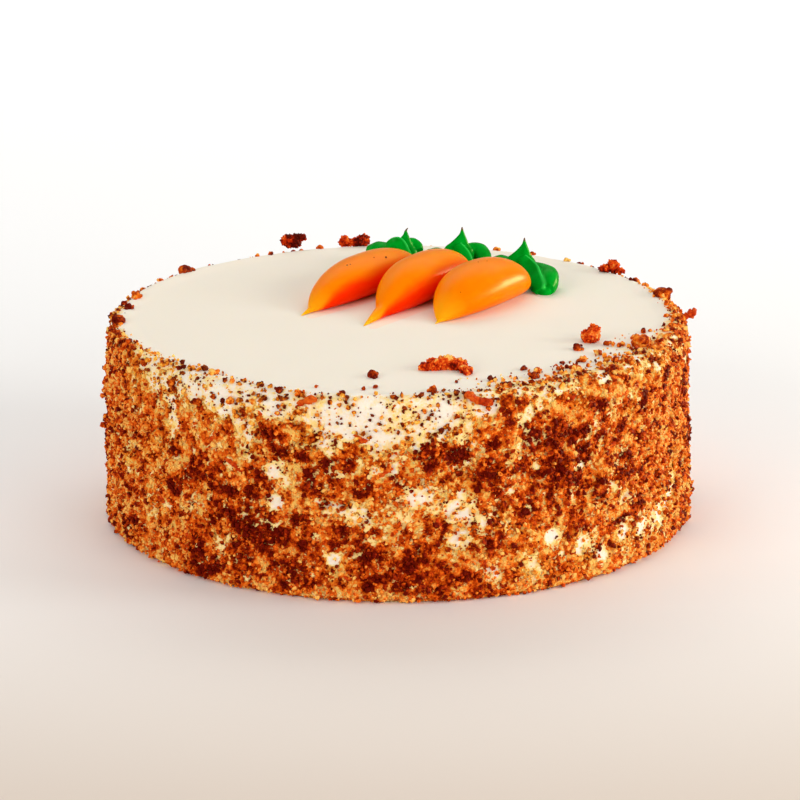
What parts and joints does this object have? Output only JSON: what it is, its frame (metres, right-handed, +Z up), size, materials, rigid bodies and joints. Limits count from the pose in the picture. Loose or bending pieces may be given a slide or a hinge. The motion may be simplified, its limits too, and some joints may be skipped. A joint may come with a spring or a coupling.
{
  "type": "carrot cake",
  "caption": "Round frosted cake coated with crumbs on its side, with piped orange carrots that have green tops and loose crumbs lying on top.",
  "frame": {"origin": "centre of the flat underside", "axes": "+Z up; -Y is the front, the side the carrot tips point towards; +X to the right seen from the front"},
  "size_m": [0.2152, 0.216, 0.0904],
  "materials": {
    "crumb_coat": "off-white frosting coated with golden to brown cake crumbs, matte",
    "toasted_crumb": "moist red-brown cake crumb, rough",
    "orange_icing": "smooth glossy piped buttercream, orange",
    "green_icing": "smooth glossy piped buttercream, green"
  },
  "bodies": {
    "root": {"cake": "crumb_coat", "large_crumb_1": "toasted_crumb", "large_crumb_2": "toasted_crumb", "large_crumb_3": "toasted_crumb", "large_crumb_4": "toasted_crumb", "large_crumb_5": "toasted_crumb", "piped_carrot_1": "orange_icing", "piped_carrot_2": "orange_icing", "piped_carrot_3": "orange_icing", "green_top_1": "green_icing", "green_top_2": "green_icing", "green_top_3": "green_icing"}
  },
  "joints": []
}
